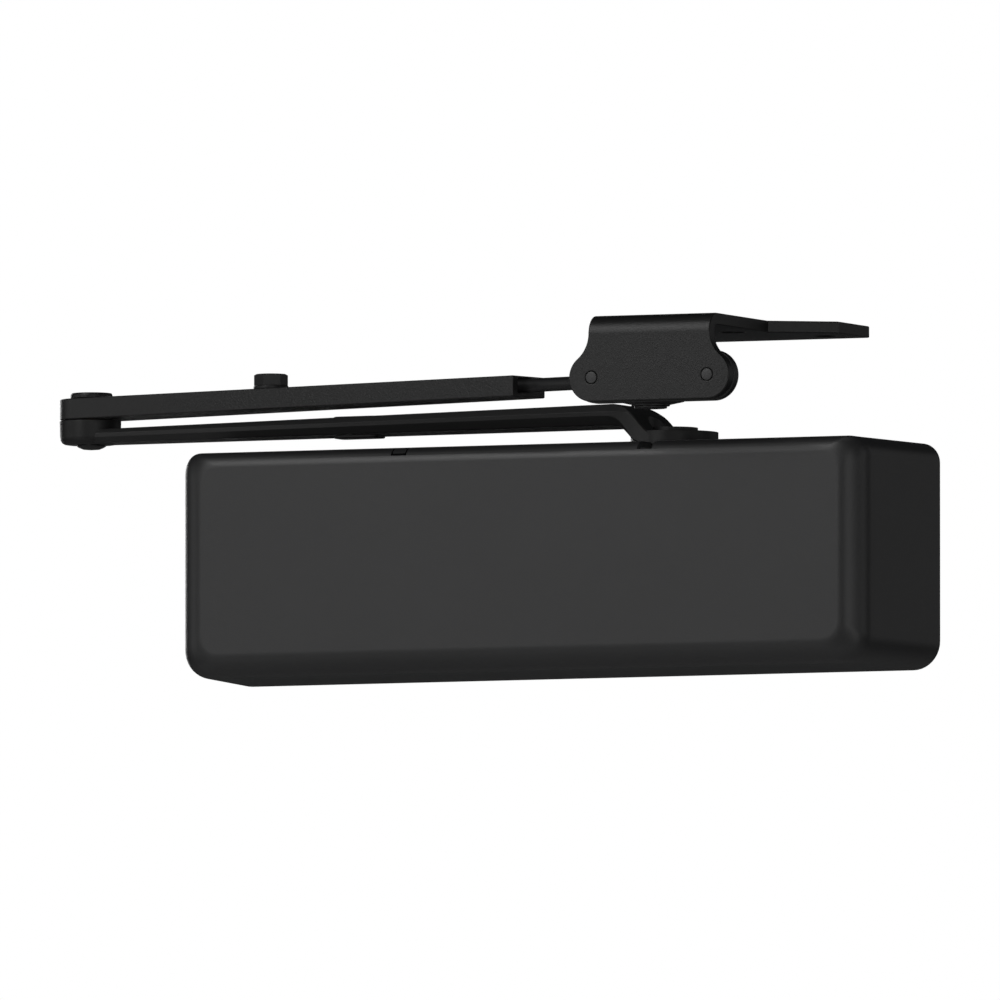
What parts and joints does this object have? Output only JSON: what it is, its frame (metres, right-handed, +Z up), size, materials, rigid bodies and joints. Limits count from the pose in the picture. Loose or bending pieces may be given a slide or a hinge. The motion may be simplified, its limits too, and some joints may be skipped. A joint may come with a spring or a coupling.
{
  "type": "door closer",
  "caption": "Overhead door closer with a full box cover, forged main arm, telescopic forearm and soffit shoe.",
  "frame": {"origin": "centre of the flat back face that the closer body puts against the door", "axes": "+X to the right along the door seen from the room, +Y towards the door, +Z up"},
  "size_m": [0.3986, 0.1191, 0.1467],
  "materials": {
    "black_cover": "satin black moulded cover with fine texture",
    "black_paint": "satin black powder coat on a forging",
    "black_grain": "black powder coat with a fine grain",
    "black_steel": "black oxide steel",
    "cast_metal": "as cast, machined bores",
    "steel": "machined steel",
    "spring_steel": "oiled spring steel",
    "brass": "machined brass",
    "bronze": "sintered bronze",
    "rubber": "moulded rubber"
  },
  "bodies": {
    "closer": {"closer_body": "cast_metal", "cover": "black_cover", "cover_hole_plug": "black_cover", "cover_clip_left": "spring_steel", "cover_clip_right": "spring_steel", "spring_end_plug": "steel", "right_end_plug": "steel", "upper_bearing": "bronze", "lower_bearing": "bronze", "spindle_seal": "rubber", "seal_nut": "black_steel", "bottom_cap": "black_steel", "mounting_screw_1": "steel", "mounting_screw_2": "steel", "mounting_screw_3": "steel", "mounting_screw_4": "steel", "main_spring": "spring_steel"},
    "spring_seat": {"spring_seat": "steel"},
    "adjusting_screw": {"adjusting_screw": "steel"},
    "sweep_valve": {"sweep_valve": "brass"},
    "latch_valve": {"latch_valve": "brass"},
    "backcheck_valve": {"backcheck_valve": "brass"},
    "piston": {"piston": "steel"},
    "main_arm": {"spindle": "steel", "main_arm": "black_paint", "arm_cap": "black_paint", "elbow_bush": "bronze", "elbow_pin": "black_steel"},
    "forearm": {"forearm_end": "black_paint", "forearm_tube": "black_grain"},
    "clamp_bolt": {"clamp_bolt": "black_steel"},
    "slide_rod": {"slide_rod": "black_steel", "rod_eye": "black_steel"},
    "shoe": {"soffit_plate": "black_grain", "pivot_bracket": "black_steel", "rivet_left": "black_steel", "rivet_right": "black_steel", "pivot_pin": "black_steel", "pivot_washer": "steel", "pivot_retaining_ring": "spring_steel"}
  },
  "joints": [
    {"name": "spindle_turn", "type": "hinge", "parent": "closer", "child": "main_arm", "pos_m": [0.057, -0.033, 0], "axis": [0, 0, 1], "range_deg": [0, 180], "stiffness_Nm_per_rad": 4, "springref_deg": -17.19},
    {"name": "piston_slide", "type": "slide", "parent": "closer", "child": "piston", "axis": [1, 0, 0], "range_m": [-0.0253, 0.0001], "deforming": ["main_spring"]},
    {"name": "adjuster_turn", "type": "hinge", "parent": "closer", "child": "adjusting_screw", "pos_m": [-0.134, -0.033, 0], "axis": [1, 0, 0], "range_deg": [0, 1440]},
    {"name": "spring_seat_slide", "type": "slide", "parent": "closer", "child": "spring_seat", "axis": [1, 0, 0], "range_m": [-0.0003, 0.0105]},
    {"name": "sweep_valve_turn", "type": "hinge", "parent": "closer", "child": "sweep_valve", "pos_m": [0.119, -0.0545, 0.0215], "axis": [1, 0, 0], "range_deg": [0, 720]},
    {"name": "latch_valve_turn", "type": "hinge", "parent": "closer", "child": "latch_valve", "pos_m": [0.119, -0.0545, -0.0215], "axis": [1, 0, 0], "range_deg": [0, 720]},
    {"name": "backcheck_valve_turn", "type": "hinge", "parent": "closer", "child": "backcheck_valve", "pos_m": [0.119, -0.0115, 0.0215], "axis": [1, 0, 0], "range_deg": [0, 720]},
    {"name": "elbow", "type": "hinge", "parent": "main_arm", "child": "forearm", "pos_m": [-0.2191, -0.0229, 0], "axis": [0, 0, 1], "range_deg": [-140, 0]},
    {"name": "clamp_bolt_turn", "type": "hinge", "parent": "forearm", "child": "clamp_bolt", "pos_m": [-0.12396, -0.04803, 0.0767], "axis": [0, 0, 1], "range_deg": [0, 360]},
    {"name": "rod_slide", "type": "slide", "parent": "forearm", "child": "slide_rod", "axis": [0.9668, -0.2554, 0], "range_m": [-0.01, 0.05]},
    {"name": "shoe_pivot", "type": "hinge", "parent": "slide_rod", "child": "shoe", "pos_m": [0.075, -0.1006, 0], "axis": [0, 0, 1], "range_deg": [-12, 75]}
  ],
  "couplings": [
    {"joint": "piston_slide", "follows": "spindle_turn", "m_per_rad": -0.008},
    {"joint": "spring_seat_slide", "follows": "adjuster_turn", "m_per_rad": 0.000318}
  ]
}
